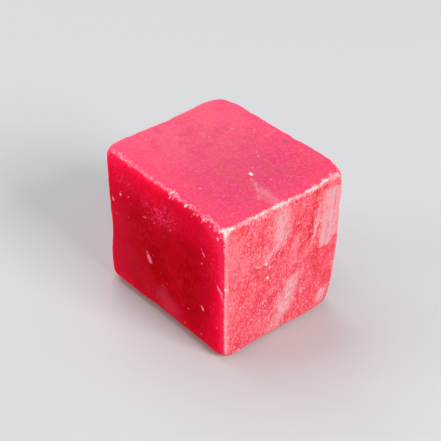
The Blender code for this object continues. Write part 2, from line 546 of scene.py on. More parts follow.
@dataclass
class SurfaceGrid:
    """The cube's six sides as one closed grid of square faces, whose lines crowd towards the arrises."""

    cells: int = 128
    crowding: float = 0.65

    def crowd(self, share: np.ndarray) -> np.ndarray:
        """Grid coordinates from -1 to 1, moved towards the ends of that range along part of a sine."""
        quarter = np.pi / 2 * self.crowding
        return np.sin(share * quarter) / np.sin(quarter)

    def build(self) -> tuple[np.ndarray, np.ndarray]:
        """The grid: each side is the plane of two parameters, u and v, and sides share their border points.

        Returns:
            The points of the cube from -1 to 1, and the four corners of each face, seen anticlockwise from
            outside.
        """
        count = self.cells + 1
        u, v = np.meshgrid(np.arange(count), np.arange(count), indexing="ij")
        steps, quads = [], []
        for number, side in enumerate(Side):
            across, up = ((side.axis + 1) % 3, (side.axis + 2) % 3)[:: side.sign]
            step = np.empty((count * count, 3), dtype=int)
            step[:, side.axis] = self.cells if side.sign > 0 else 0
            step[:, across] = u.ravel()
            step[:, up] = v.ravel()
            steps.append(step)
            index = np.arange(count * count).reshape(count, count) + number * count * count
            quads.append(np.stack([index[:-1, :-1], index[1:, :-1], index[1:, 1:], index[:-1, 1:]], axis=-1))
        shared, where = np.unique(np.concatenate(steps), axis=0, return_inverse=True)
        faces = where.reshape(-1)[np.concatenate(quads).reshape(-1, 4)]
        return self.crowd(shared / self.cells * 2 - 1), faces


# ---- Objects and shader nodes ----


def placed(name: str, data: bpy.types.ID) -> bpy.types.Object:
    """Adds an object to the scene.

    Args:
        name: Its name.
        data: Its mesh, lamp or camera.

    Returns:
        The object.
    """
    thing = bpy.data.objects.new(name, data)
    bpy.context.scene.collection.objects.link(thing)
    return thing


@dataclass
class Graph:
    """A node tree, with short calls that add a node, feed it and give back what it puts out."""

    tree: bpy.types.NodeTree

    def add(self, kind: str, *values: Any, **settings: Any) -> bpy.types.Node:
        """Adds a node.

        Args:
            kind: The node's type.
            values: What its first inputs are fed with, in order.
            settings: Its properties, by name.

        Returns:
            The node.
        """
        node = self.tree.nodes.new(kind)
        for name, setting in settings.items():
            setattr(node, name, setting)
        for socket, value in zip(node.inputs, values):
            self.feed(socket, value)
        return node

    def feed(self, socket: Socket, value: Any) -> None:
        """Joins a socket to another one, or sets its own value.

        Args:
            socket: The input that is fed.
            value: The socket or the constant that feeds it.
        """
        if isinstance(value, Socket):
            self.tree.links.new(value, socket)
        else:
            socket.default_value = value

    def math(self, operation: str, *values: Any, clamp: bool = False) -> Socket:
        """The result of a Math node."""
        return self.add("ShaderNodeMath", *values, operation=operation, use_clamp=clamp).outputs[0]

    def product(self, *values: Any) -> Socket:
        """All the values multiplied."""
        return reduce(lambda so_far, value: self.math("MULTIPLY", so_far, value), values)

    def largest(self, *values: Any) -> Socket:
        """The largest of the values."""
        return reduce(lambda so_far, value: self.math("MAXIMUM", so_far, value), values)

    def times_plus(self, value: Any, factor: Any, added: Any) -> Socket:
        """The value times the factor, plus what is added."""
        return self.math("MULTIPLY_ADD", value, factor, added)

    def vector(self, operation: str, *values: Any) -> Socket:
        """The vector that a Vector Math node gives, or its number for a distance or a product."""
        node = self.add("ShaderNodeVectorMath", *values, operation=operation)
        return node.outputs["Value" if operation in ("DISTANCE", "DOT_PRODUCT") else "Vector"]

    def scaled(self, vector: Any, factor: Any) -> Socket:
        """A vector times a number, which the node takes after two vectors that it leaves unused."""
        return self.vector("SCALE", vector, (0.0, 0.0, 0.0), (0.0, 0.0, 0.0), factor)

    def span(self, value: Any, low: Any, high: Any, to_low: Any = 0.0, to_high: Any = 1.0) -> Socket:
        """The value taken smoothly from the range low to high to the range to_low to to_high.

        Args:
            value: What is measured.
            low: Where the result is to_low.
            high: Where the result is to_high.
            to_low: The result at low and below it.
            to_high: The result at high and above it.

        Returns:
            The result.
        """
        ends = (low, high, to_low, to_high)
        return self.add("ShaderNodeMapRange", value, *ends, interpolation_type="SMOOTHSTEP").outputs[0]

    def blend(self, share: Any, first: Any, second: Any) -> Socket:
        """A colour that goes from one to another.

        Args:
            share: How much of the second colour there is, from 0 to 1.
            first: The colour where the share is 0.
            second: The colour where the share is 1.

        Returns:
            The blended colour's socket.
        """
        node = self.add("ShaderNodeMix", share, data_type="RGBA")
        for number, colour in zip(MIX_COLOURS, (first, second)):
            self.feed(node.inputs[number], colour if isinstance(colour, Socket) else (*colour, 1.0))
        return node.outputs[MIX_RESULT]

    def layered(self, first: Any, *layers: tuple[Any, Any]) -> Socket:
        """A colour with others laid over it in order, each given with the share of it that shows."""
        return reduce(lambda below, layer: self.blend(layer[0], below, layer[1]), layers, first)

    def noise_node(self, place: Any, size: Any, detail: float, roughness: float) -> bpy.types.Node:
        """Adds a Noise Texture.

        Args:
            place: Where the noise is taken.
            size: About how wide its lumps are.
            detail: How many finer sizes of noise are added.
            roughness: How strong the finer ones are.

        Returns:
            The node.
        """
        scale = self.math("DIVIDE", 1.0, size) if isinstance(size, Socket) else 1 / size
        node = self.add("ShaderNodeTexNoise")
        given = {"Vector": place, "Scale": scale, "Detail": detail, "Roughness": roughness}
        for name, value in given.items():
            self.feed(node.inputs[name], value)
        return node

    def noise(self, place: Any, size: Any, detail: float = 2.0, roughness: float = 0.5) -> Socket:
        """Soft noise from 0 to 1 with lumps of about the given size."""
        return self.noise_node(place, size, detail, roughness).outputs["Fac"]

    def stirred(self, place: Any, size: float, reach: float) -> Socket:
        """The place, moved about by noise.

        Args:
            place: The place that is moved.
            size: About how wide the noise's lumps are.
            reach: About how far they move the place.

        Returns:
            The moved place.
        """
        colour = self.noise_node(place, size, detail=2.0, roughness=0.5).outputs["Color"]
        centred = self.vector("SUBTRACT", colour, (0.5, 0.5, 0.5))
        return self.vector("ADD", place, self.scaled(centred, 2 * reach))

    def use(self, group: bpy.types.NodeTree, **values: Any) -> Socket:
        """Places a group in this tree.

        Args:
            group: The group.
            values: What its inputs are fed with, by name, underscores standing for spaces.

        Returns:
            What the group gives.
        """
        node = self.add("ShaderNodeGroup", node_tree=group)
        for name, value in values.items():
            self.feed(node.inputs[name.replace("_", " ").title()], value)
        return node.outputs[0]


@dataclass
class GroupGraph(Graph):
    """The inside of a node group that gives one number."""

    start: bpy.types.Node
    end: bpy.types.Node

    @classmethod
    def make(
        cls, name: str, vectors: tuple[str, ...], numbers: tuple[str, ...], output: str
    ) -> "GroupGraph":
        """A new group.

        Args:
            name: The group's name.
            vectors: The names of the inputs that are vectors.
            numbers: The names of the inputs that are numbers.
            output: The name of its output.

        Returns:
            The group, empty but for its sockets.
        """
        tree = bpy.data.node_groups.new(name, "ShaderNodeTree")
        for label in vectors:
            tree.interface.new_socket(label, in_out="INPUT", socket_type="NodeSocketVector")
        for label in numbers:
            tree.interface.new_socket(label, in_out="INPUT", socket_type="NodeSocketFloat")
        tree.interface.new_socket(output, in_out="OUTPUT", socket_type="NodeSocketFloat")
        return cls(tree, tree.nodes.new("NodeGroupInput"), tree.nodes.new("NodeGroupOutput"))

    def given(self) -> list[Socket]:
        """The group's inputs in their order, the vectors first."""
        return [socket for socket in self.start.outputs if socket.name]

    def finished(self, value: Socket) -> bpy.types.NodeTree:
        """The group, with its output fed."""
        self.feed(self.end.inputs[0], value)
        return self.tree


def stroke_group() -> bpy.types.NodeTree:
    """A mark along a straight line: 1 near the line from start to end, fading out at its half width.

    The nearest place on the line is the start plus the share of the run that the place has gone along it.
    Where the end is the start, the mark is a dot, and a least run keeps the share from dividing by nothing.

    Returns:
        The group, with inputs in millimetres and the output Mask.
    """
    group = GroupGraph.make("stroke", ("Place", "Start", "End"), ("Half Width", "Softness"), "Mask")
    place, start, end, half_width, softness = group.given()
    run = group.vector("SUBTRACT", end, start)
    from_start = group.vector("SUBTRACT", place, start)
    run_squared = group.largest(group.vector("DOT_PRODUCT", run, run), 1e-6)
    share = group.math("DIVIDE", group.vector("DOT_PRODUCT", from_start, run), run_squared, clamp=True)
    nearest = group.vector("ADD", start, group.scaled(run, share))
    soft = group.product(half_width, softness)
    inner = group.math("SUBTRACT", half_width, soft)
    outer = group.math("ADD", half_width, soft)
    return group.finished(group.span(group.vector("DISTANCE", place, nearest), inner, outer, 1.0, 0.0))


def specks_group() -> bpy.types.NodeTree:
    """Scattered specks: a share of the cells of a cell pattern hold a dot.

    Each dot's radius is 0.45 to 1 times the size, and its strength is 0.35 to 1. It fades out over the outer
    half of its radius.

    Returns:
        The group, with inputs in millimetres and the output Mask.
    """
    group = GroupGraph.make("specks", ("Place",), ("Spacing", "Size", "Share"), "Mask")
    place, spacing, size, share = group.given()
    cells = group.add("ShaderNodeTexVoronoi", feature="F1")
    group.feed(cells.inputs["Vector"], place)
    group.feed(cells.inputs["Scale"], group.math("DIVIDE", 1.0, spacing))
    chance = group.add("ShaderNodeSeparateColor", cells.outputs["Color"])
    distance = group.product(cells.outputs["Distance"], spacing)
    radius = group.product(size, group.span(chance.outputs["Green"], 0.0, 1.0, 0.45, 1.0))
    dot = group.span(distance, group.product(radius, 0.5), radius, 1.0, 0.0)
    kept = group.math("LESS_THAN", chance.outputs["Red"], share)
    bright = group.span(chance.outputs["Blue"], 0.0, 1.0, 0.35, 1.0)
    return group.finished(group.product(dot, kept, bright))


def grain_group() -> bpy.types.NodeTree:
    """Crystal grain: two sizes of noise, drawn out along a direction, added and sharpened.

    The place is drawn out by taking away a share of what it measures along the direction. The finer noise
    has half the size and 0.6 of the strength, and the mean of the two together, 0.8, is taken away before
    they are sharpened.

    Returns:
        The group, with inputs in millimetres and the output Grain, from 0 to 1.
    """
    numbers = ("Stretch", "Size", "Contrast", "Middle")
    group = GroupGraph.make("grain", ("Place", "Direction"), numbers, "Grain")
    place, direction, stretch, size, contrast, middle = group.given()
    along = group.vector("DOT_PRODUCT", place, direction)
    kept = group.math("SUBTRACT", 1.0, group.math("DIVIDE", 1.0, stretch))
    drawn_out = group.vector("SUBTRACT", place, group.scaled(direction, group.product(along, kept)))
    coarse = group.noise(drawn_out, size, detail=1.0)
    fine = group.noise(group.vector("ADD", drawn_out, (7.0, 3.0, 5.0)), group.product(size, 0.5), detail=1.0)
    both = group.times_plus(fine, 0.6, group.math("SUBTRACT", coarse, 0.8))
    return group.finished(group.math("ADD", group.product(both, contrast), middle, clamp=True))


# ---- The ruby ----


class MarkKind(Enum):
    """What a mark in the stone is made of, or what light is painted in it, and the share of its half width
    over which its border fades.
    """

    # Paler painted sheen on the top.
    BLUSH = ("paler satin", 1.0)
    LIGHT = ("light coral", 1.0)
    FLUSH = ("deeper coral", 1.0)
    CLOUD = ("pale cloud", 0.85)
    DEEP = ("deep red seam", 0.85)
    VEIN = ("pale vein", 0.85)
    PATCH = ("pale patch", 0.7)
    # Less of the light painted as shining in at an arris.
    SHADE = ("deeper ruby", 1.0)
    # Magenta haze painted where the floor's reflection falls.
    HAZE = ("magenta haze", 1.0)
    SPECKLED = ("speckled passage", 1.0)
    SCRATCH = ("pink scratch", 0.7)
    SPECK = ("pale speck", 0.6)
    FROST = ("frosted break", 0.5)
    DARK = ("dark crack", 0.7)
    GREY = ("grey inclusion", 0.6)
    # A painted highlight.
    GLINT = ("white glint", 0.5)

    @property
    def softness(self) -> float:
        """The share of the half width over which the border fades."""
        return self.value[1]

    @property
    def fibrous(self) -> bool:
        """Whether the mark lies in the stone's fibres, and so wanders and breaks up with them."""
        return self in (MarkKind.CLOUD, MarkKind.DEEP, MarkKind.VEIN, MarkKind.PATCH, MarkKind.HAZE)

    @property
    def between_fibres(self) -> float:
        """How much of a fibrous mark is left between the fibres."""
        return 0.4 if self is MarkKind.VEIN else 0.7

    @property
    def trembling(self) -> bool:
        """Whether the mark's border trembles, as a scratch's and a break's does."""
        return self in (MarkKind.SCRATCH, MarkKind.SPECK, MarkKind.FROST)

    @property
    def sawn(self) -> bool:
        """Whether the mark stays on the sawn sides."""
        return self in (MarkKind.LIGHT, MarkKind.FLUSH, MarkKind.DEEP, MarkKind.VEIN, MarkKind.PATCH)


@dataclass(frozen=True)
class Mark:
    """A mark along a line through the stone's surface: half its width, and how strong it is."""

    start: Place
    end: Place
    half_width: float
    strength: float = 1.0


def specks(half_width: float, strength: float, *places: Place) -> tuple[Mark, ...]:
    """Single specks of one size at those places."""
    return tuple(Mark(place, place, half_width, strength) for place in places)


MARKS: dict[MarkKind, tuple[Mark, ...]] = {
    MarkKind.BLUSH: (
        # The top's painted sheen, paler towards its left side and its back.
        Mark((-9.5, -8.0, 19.9), (-9.0, 8.0, 20.0), 8.0, 0.8),
        Mark((-4.0, 8.5, 20.0), (3.0, 9.0, 20.0), 3.5, 0.2),
    ),
    MarkKind.CLOUD: (
        Mark((5.3, -0.5, 19.85), (6.5, -0.8, 19.8), 0.25, 0.35),
        Mark((6.4, -0.7, 19.8), (7.4, -1.3, 19.8), 0.3, 0.55),
        Mark((7.3, -0.9, 19.8), (8.6, -1.0, 19.7), 0.5, 0.5),
        Mark((7.9, -1.5, 19.8), (8.6, -2.2, 19.8), 0.2, 0.5),
        Mark((8.2, -0.9, 19.8), (9.8, -1.2, 19.7), 0.65, 0.4),
        Mark((-0.1, 6.4, 19.95), (-0.1, 8.0, 20.0), 0.2, 0.25),
    ),
    MarkKind.GREY: (Mark((2.3, 7.45, 20.0), (2.5, 7.5, 20.0), 0.26, 0.6),),
    MarkKind.LIGHT: (
        Mark((10.7, -8.6, 19.0), (10.7, -8.2, 11.0), 3.4, 0.12),
        Mark((10.7, -8.8, 18.5), (10.7, -8.7, 1.5), 1.3, 0.4),
        Mark((-11.0, -8.0, 16.0), (-11.0, -7.5, 5.0), 2.4, 0.5),
    ),
    MarkKind.FLUSH: (
        Mark((10.9, 5.6, 9.6), (10.9, 5.0, 3.6), 2.6, 0.9),
        Mark((10.9, 2.6, 15.5), (10.9, 1.6, 9.0), 2.2, 0.7),
        Mark((10.9, -2.4, 10.8), (10.9, -2.0, 9.0), 2.0, 0.8),
        Mark((10.9, -3.7, 15.8), (10.9, -3.3, 13.4), 1.7, 0.55),
        Mark((10.9, -0.6, 12.2), (10.9, 1.6, 9.0), 2.2, 0.4),
        Mark((10.9, 3.3, 10.2), (10.9, 3.6, 9.0), 1.5, 0.7),
        Mark((10.8, -7.0, 5.5), (10.8, -4.5, 3.0), 3.2, 0.45),
        Mark((-11.0, 1.5, 6.5), (-11.0, 6.0, 4.0), 3.0, 0.8),
    ),
    MarkKind.DEEP: (
        Mark((10.9, 4.5, 19.3), (10.9, 4.5, 17.3), 0.22),
        Mark((10.9, 4.5, 17.3), (10.9, 3.8, 13.8), 0.26, 0.9),
        Mark((10.9, 3.8, 14.6), (10.9, 3.9, 12.2), 0.35),
        Mark((10.9, 5.6, 11.2), (10.9, 4.6, 8.8), 0.4, 0.7),
        Mark((10.9, 5.0, 9.4), (10.95, 5.1, 6.4), 0.5, 0.6),
        Mark((10.9, 1.95, 15.3), (10.9, 2.3, 14.4), 0.28),
        Mark((10.85, -3.9, 11.4), (10.85, -3.3, 9.8), 0.8, 0.5),
        Mark((-11.0, 5.6, 15.5), (-11.0, 4.7, 8.0), 0.4, 0.8),
    ),
    MarkKind.VEIN: (
        # The right side's upper vein and its tail, its lower vein, and the narrow ones beside the patch.
        Mark((10.9, -0.8, 19.2), (10.9, -0.8, 17.6), 0.8, 0.55),
        Mark((10.9, -0.8, 18.0), (10.9, -0.7, 14.8), 1.0, 0.9),
        Mark((10.9, -0.1, 17.7), (10.9, 0.4, 14.8), 0.5, 0.55),
        Mark((10.9, -0.8, 15.4), (10.9, -1.6, 13.7), 0.6, 0.8),
        Mark((10.9, -1.5, 14.0), (10.9, -2.8, 12.7), 0.6, 0.55),
        Mark((10.9, 2.1, 7.8), (10.9, 1.0, 6.6), 0.5, 0.6),
        Mark((10.8, 1.25, 6.9), (10.8, 0.3, 3.6), 0.95),
        Mark((10.8, 0.0, 3.8), (10.7, -0.6, 1.6), 0.6, 0.7),
        Mark((10.75, 0.0, 5.2), (10.7, -1.0, 1.4), 1.1, 0.5),
        Mark((10.95, 5.2, 16.1), (10.9, 4.4, 12.7), 0.2),
        Mark((10.9, 5.0, 14.4), (10.9, 4.2, 11.6), 0.15, 0.8),
        Mark((10.95, 5.3, 17.6), (10.95, 5.2, 14.2), 0.14, 0.8),
        Mark((10.9, 4.6, 15.9), (10.9, 4.4, 13.3), 0.12, 0.7),
        Mark((10.9, 1.6, 13.0), (10.9, 1.2, 10.4), 0.6, 0.35),
        Mark((10.95, 6.5, 3.1), (10.95, 6.0, 2.2), 0.6, 0.95),
        # The left side's.
        Mark((-11.0, 3.2, 18.4), (-11.0, 1.8, 12.6), 0.8, 0.9),
        Mark((-11.0, 1.9, 13.0), (-11.0, 0.2, 8.8), 0.5, 0.7),
    ),
    MarkKind.PATCH: (
        Mark((11.0, 5.9, 18.6), (11.0, 5.7, 13.0), 0.35, 0.6),
        Mark((11.0, 6.2, 14.6), (11.0, 5.9, 10.9), 0.5),
        Mark((11.0, 6.6, 18.5), (11.0, 6.4, 13.6), 0.4, 0.75),
        Mark((11.0, 7.2, 18.3), (11.0, 6.8, 10.6), 0.45, 0.95),
        Mark((11.0, 8.0, 18.0), (11.0, 7.6, 11.5), 0.45, 0.85),
        Mark((11.0, 8.7, 17.5), (11.0, 8.6, 11.6), 0.5, 0.75),
        Mark((-11.0, -5.4, 7.2), (-11.0, -4.9, 2.2), 1.0, 0.7),
    ),
    MarkKind.SHADE: (
        # Where the painted shine at the arrises is held back to plain ruby.
        Mark((1.5, -9.2, 17.9), (5.5, -9.2, 18.4), 1.5, 0.45),
        Mark((-2.0, 9.3, 17.5), (-6.0, 9.3, 18.0), 1.8, 0.4),
    ),
    MarkKind.HAZE: (
        # Magenta haze painted low on the front and towards its left, where the floor's reflection falls, and
        # one on the back.
        Mark((-0.4, -9.1, 3.3), (1.2, -9.0, 2.1), 1.2, 0.55),
        Mark((-5.7, -9.2, 5.4), (-3.0, -9.1, 2.6), 1.6, 0.15),
        Mark((-9.0, -9.3, 11.0), (-8.0, -9.2, 4.0), 3.0, 0.12),
        Mark((-6.0, -9.2, 6.6), (-5.7, -9.2, 5.8), 1.0, 0.2),
        Mark((3.5, 9.2, 6.5), (5.5, 9.2, 3.2), 1.8, 0.6),
    ),
    MarkKind.SPECKLED: (
        Mark((-2.2, -9.3, 15.4), (1.2, -9.3, 16.3), 1.35),
        Mark((-8.6, -9.4, 17.6), (-6.5, -9.4, 17.0), 1.4, 0.6),
        Mark((9.4, -9.1, 17.5), (9.6, -9.1, 12.5), 1.2, 0.6),
        Mark((-1.0, 9.3, 14.0), (3.0, 9.3, 15.5), 1.8, 0.8),
    ),
    MarkKind.SCRATCH: (
        # On the front, most of them of a faint stroke with a stronger one in it, then two on the back.
        Mark((-3.15, -9.2, 8.45), (-2.95, -9.2, 7.9), 0.2, 0.35),
        Mark((-2.95, -9.2, 7.9), (-2.65, -9.1, 7.35), 0.27, 0.8),
        Mark((9.5, -9.1, 11.3), (10.1, -8.95, 10.4), 0.11, 0.9),
        Mark((9.75, -9.1, 10.95), (10.07, -8.95, 10.5), 0.13),
        Mark((10.1, -8.95, 10.5), (10.1, -8.9, 9.8), 0.09, 0.8),
        Mark((10.1, -8.9, 9.9), (10.15, -8.87, 9.2), 0.06, 0.4),
        Mark((6.83, -9.2, 15.1), (7.27, -9.2, 14.2), 0.06, 0.8),
        Mark((7.1, -9.2, 14.55), (7.25, -9.2, 14.25), 0.1, 0.9),
        Mark((6.78, -9.1, 6.6), (7.15, -9.1, 6.1), 0.09, 0.7),
        Mark((6.9, -9.1, 6.45), (7.1, -9.1, 6.2), 0.14),
        Mark((-3.8, -9.2, 13.35), (-3.1, -9.2, 13.75), 0.07, 0.35),
        Mark((-3.5, -9.2, 13.5), (-3.3, -9.2, 13.6), 0.12, 0.4),
        Mark((-4.2, 9.2, 12.6), (-3.6, 9.2, 11.4), 0.12, 0.9),
        Mark((5.9, 9.3, 15.3), (6.6, 9.3, 14.7), 0.1, 0.8),
    ),
    MarkKind.SPECK: (
        # On the top.
        *specks(0.14, 0.6, (-3.8, 4.5, 19.9), (-1.9, 6.4, 19.9), (2.45, 3.05, 19.9), (2.9, -6.1, 19.8)),
        *specks(0.12, 0.55, (-6.6, -1.7, 19.9), (-4.2, 1.3, 19.9), (3.8, 1.0, 19.9), (6.7, 1.2, 19.8)),
        *specks(0.11, 0.5, (-8.6, -4.8, 19.9), (1.7, 3.5, 19.9), (1.4, -7.1, 19.8), (5.7, -5.0, 19.85)),
        # On the front.
        *specks(0.11, 0.5, (-1.6, -9.2, 13.8), (-6.3, -9.3, 14.9), (6.85, -9.2, 13.0), (9.5, -9.1, 5.0)),
        *specks(0.11, 0.45, (1.4, -9.3, 14.5), (4.35, -9.0, 4.5), (6.7, -9.0, 2.1), (3.6, -9.0, 1.8)),
        # Crumbs along the arris between the top and the front, and pale cores of the scratches.
        Mark((1.09, -8.95, 19.5), (1.12, -9.05, 19.35), 0.12, 0.9),
        Mark((1.84, -9.13, 19.35), (1.82, -9.18, 19.25), 0.12, 0.8),
        Mark((1.36, -9.15, 19.3), (1.3, -9.24, 19.05), 0.09, 0.7),
        *specks(0.13, 0.8, (0.05, -8.9, 19.44), (0.45, -8.8, 19.55), (1.85, -8.64, 19.74)),
        *specks(0.13, 0.8, (2.77, -9.05, 19.46)),
        *specks(0.11, 0.8, (4.67, -9.04, 19.49), (6.04, -9.15, 19.35), (6.66, -9.05, 19.48)),
        *specks(0.11, 0.6, (-1.53, -9.02, 19.42), (-1.08, -8.76, 19.55), (-3.22, -9.07, 19.45)),
        *specks(0.11, 0.6, (-2.5, -9.0, 19.46)),
        Mark((7.45, -9.0, 19.45), (7.47, -9.1, 19.3), 0.11, 0.8),
        Mark((8.83, -8.98, 19.42), (8.87, -9.05, 19.25), 0.11, 0.8),
        Mark((9.11, -9.08, 19.3), (8.95, -9.2, 18.9), 0.09, 0.7),
        Mark((9.93, -9.14, 18.8), (9.95, -9.14, 18.5), 0.09, 0.6),
        *specks(0.1, 0.8, (6.97, -9.27, 19.02)),
        *specks(0.1, 0.7, (9.07, -8.83, 19.52), (5.55, -9.22, 19.2), (8.29, -9.18, 19.14)),
        Mark((9.6, -9.1, 11.15), (10.05, -8.95, 10.55), 0.08, 0.8),
        # The knock near the front's left arris.
        Mark((-9.4, -9.4, 13.1), (-9.35, -9.4, 12.75), 0.13, 0.8),
        # On the right, and the pale line down its front arris.
        *specks(0.1, 0.8, (10.85, -2.2, 9.3), (10.87, -1.6, 8.9), (10.9, -0.9, 8.0)),
        # Mostly painted glints on the right side: pale specks where the light catches its grain.
        *specks(0.13, 0.8, (10.69, -8.11, 8.3), (10.31, -8.91, 18.36), (10.75, -6.63, 7.52)),
        *specks(0.11, 0.6, (10.79, -6.74, 6.03), (10.71, -7.78, 14.98), (10.77, -7.03, 14.63)),
        *specks(0.11, 0.5, (10.71, -7.79, 13.97), (10.77, -7.32, 3.58), (10.72, -6.81, 9.15)),
        Mark((10.75, -6.63, 7.52), (10.77, -5.78, 7.88), 0.1, 0.35),
        # Pale specks lower on the right side.
        *specks(0.2, 0.6, (10.83, 2.82, 5.05), (10.95, 4.01, 2.78)),
        *specks(0.13, 0.6, (10.78, 2.22, 3.96), (10.97, 5.16, 5.14), (10.97, 5.75, 4.77)),
        *specks(0.13, 0.6, (10.94, 3.41, 1.72)),
        Mark((10.41, -8.68, 9.8), (10.49, -8.65, 6.71), 0.16, 0.4),
        Mark((10.49, -8.65, 6.71), (10.42, -8.48, 3.31), 0.16, 0.55),
        Mark((10.47, -8.74, 17.25), (10.35, -8.84, 16.6), 0.14, 0.6),
    ),
    MarkKind.FROST: (
        # Crumbs along the arris between the top and the front, then its right end and the arris below.
        Mark((1.1, -8.8, 19.62), (1.12, -8.9, 19.52), 0.13, 0.6),
        Mark((1.3, -8.6, 19.76), (1.33, -8.7, 19.65), 0.15, 0.8),
        Mark((3.87, -9.0, 19.5), (3.9, -9.1, 19.35), 0.15),
        Mark((7.02, -9.08, 19.42), (7.05, -9.15, 19.3), 0.12, 0.8),
        Mark((9.61, -8.98, 19.35), (9.65, -9.05, 19.05), 0.12, 0.8),
        Mark((9.54, -9.18, 18.2), (9.58, -9.18, 18.05), 0.13, 0.8),
        # The front right corner: frosted, and painted with the white highlight that it catches.
        Mark((10.0, -8.82, 19.33), (10.32, -8.25, 19.42), 0.24),
        Mark((10.2, -8.65, 19.32), (10.3, -8.5, 19.2), 0.24),
        Mark((10.3, -8.3, 19.42), (10.42, -7.7, 19.43), 0.16),
        Mark((10.15, -8.72, 19.2), (10.36, -8.79, 18.85), 0.2),
        Mark((10.33, -8.88, 18.5), (10.42, -8.78, 17.9), 0.1, 0.5),
        Mark((10.46, -8.68, 11.15), (10.56, -8.48, 11.12), 0.15, 0.9),
        # The rims of the broken pit in the right side, and the knocks low down on it.
        Mark((10.87, -4.5, 12.45), (10.87, -4.0, 12.3), 0.09, 0.4),
        Mark((10.87, -4.0, 12.3), (10.87, -3.8, 12.35), 0.11, 0.7),
        Mark((10.86, -3.5, 12.35), (10.85, -3.15, 12.3), 0.1, 0.6),
        Mark((10.85, -3.0, 12.2), (10.85, -2.85, 12.1), 0.17, 0.9),
        Mark((10.85, -2.4, 11.5), (10.85, -2.35, 11.3), 0.09, 0.5),
        Mark((10.7, -6.9, 0.8), (10.7, -6.5, 0.9), 0.16, 0.6),
        # The knock near the front's left arris.
        Mark((-7.87, -9.35, 14.4), (-7.83, -9.35, 14.35), 0.14, 0.8),
    ),
    MarkKind.DARK: (
        Mark((10.85, -2.85, 11.8), (10.85, -2.9, 11.1), 0.2, 0.5),
        Mark((10.84, -3.5, 11.6), (10.84, -3.3, 11.3), 0.22, 0.25),
    ),
    MarkKind.GLINT: (
        # Painted glints: white dots where light catches the top and the right side.
        Mark((4.45, 0.1, 19.9), (4.65, 0.06, 19.9), 0.17),
        Mark((10.85, -2.63, 10.0), (10.85, -2.6, 9.95), 0.14, 0.9),
        Mark((10.9, 1.85, 15.75), (10.9, 1.9, 15.7), 0.1, 0.6),
    ),
}


@dataclass(frozen=True)
class Grain:
    """Crystal grain: where it runs, how much longer than wide it is, its width, contrast and mean."""

    direction: Place
    stretch: float
    size: float
    contrast: float
    middle: float


UPRIGHT = (0.0, 0.0, 1.0)
LEANING = (0.3, 0.3, 0.9)
FIBRE_DIRECTION = (0.0, 0.45, 0.893)
CRUMB_DIRECTION = (0.0, 0.2, 0.98)

MOTTLE_GRAIN = Grain(UPRIGHT, 1.8, 0.4, 2.5, 0.5)
THREAD_GRAIN = Grain((0.2, 0.0, 0.98), 2.4, 0.3, 3.2, 0.12)
PAINTED_GLOW_GRAIN = Grain(UPRIGHT, 2.0, 0.6, 2.5, 0.5)
CURL_GRAIN = Grain((0.6, 0.0, 0.8), 2.5, 0.24, 5.0, -0.1)
SATIN_GRAIN = Grain(LEANING, 1.3, 0.42, 2.6, 0.5)
PAINTED_SPARKLE_GRAIN = Grain(LEANING, 1.2, 0.34, 3.0, 0.15)
SAWN_GRAIN = Grain(CRUMB_DIRECTION, 1.7, 0.36, 1.8, 0.44)
BROAD_SAWN_GRAIN = Grain(FIBRE_DIRECTION, 2.0, 1.6, 2.2, 0.5)
DASH_GRAIN = Grain(CRUMB_DIRECTION, 1.9, 0.18, 4.0, -0.3)
FIBRE_GRAIN = Grain(FIBRE_DIRECTION, 3.5, 0.26, 3.0, 0.5)
STREAK_GRAIN = Grain(FIBRE_DIRECTION, 5.0, 0.16, 4.0, -0.1)
FLAKE_GRAIN = Grain(UPRIGHT, 1.5, 0.19, 7.0, -0.3)
DUST_GRAIN = Grain(UPRIGHT, 2.0, 0.26, 4.0, 0.3)


